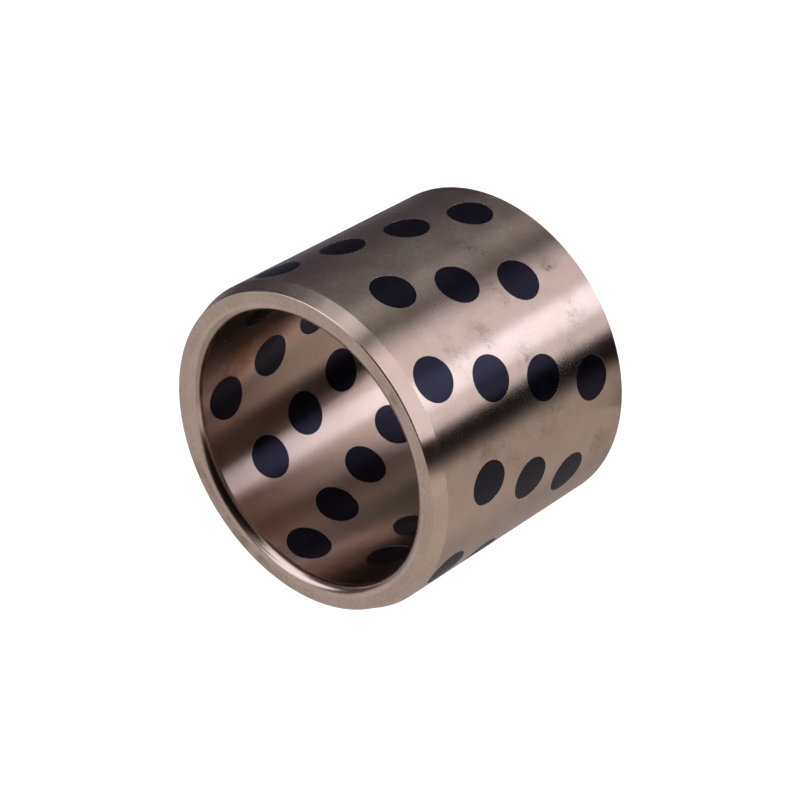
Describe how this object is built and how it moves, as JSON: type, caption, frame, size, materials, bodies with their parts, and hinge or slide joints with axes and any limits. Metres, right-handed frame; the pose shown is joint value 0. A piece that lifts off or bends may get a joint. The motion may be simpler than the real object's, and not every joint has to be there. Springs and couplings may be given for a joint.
{
  "type": "sleeve bushing",
  "caption": "Plain bronze sleeve bushing with flush graphite lubricant plugs in slanting rows through its wall, a rounded bore mouth and a long lead chamfer outside.",
  "frame": {"origin": "centre of the plain end face, which the sleeve stands on", "axes": "+Z along the sleeve's axis, from the plain end to the lead end with the long chamfer; -Y towards the first plug of the ring nearest the lead end"},
  "size_m": [0.06, 0.06, 0.05],
  "materials": {
    "bronze": "satin",
    "graphite": "matte"
  },
  "bodies": {
    "root": {"sleeve": "bronze", "plug_1_1": "graphite", "plug_1_2": "graphite", "plug_1_3": "graphite", "plug_1_4": "graphite", "plug_1_5": "graphite", "plug_2_1": "graphite", "plug_2_2": "graphite", "plug_2_3": "graphite", "plug_2_4": "graphite", "plug_2_5": "graphite", "plug_3_1": "graphite", "plug_3_2": "graphite", "plug_3_3": "graphite", "plug_3_4": "graphite", "plug_3_5": "graphite", "plug_4_1": "graphite", "plug_4_2": "graphite", "plug_4_3": "graphite", "plug_4_4": "graphite", "plug_4_5": "graphite", "plug_5_1": "graphite", "plug_5_2": "graphite", "plug_5_3": "graphite", "plug_5_4": "graphite", "plug_5_5": "graphite", "plug_6_1": "graphite", "plug_6_2": "graphite", "plug_6_3": "graphite", "plug_6_4": "graphite", "plug_6_5": "graphite", "plug_7_1": "graphite", "plug_7_2": "graphite", "plug_7_3": "graphite", "plug_7_4": "graphite", "plug_7_5": "graphite"}
  },
  "joints": []
}
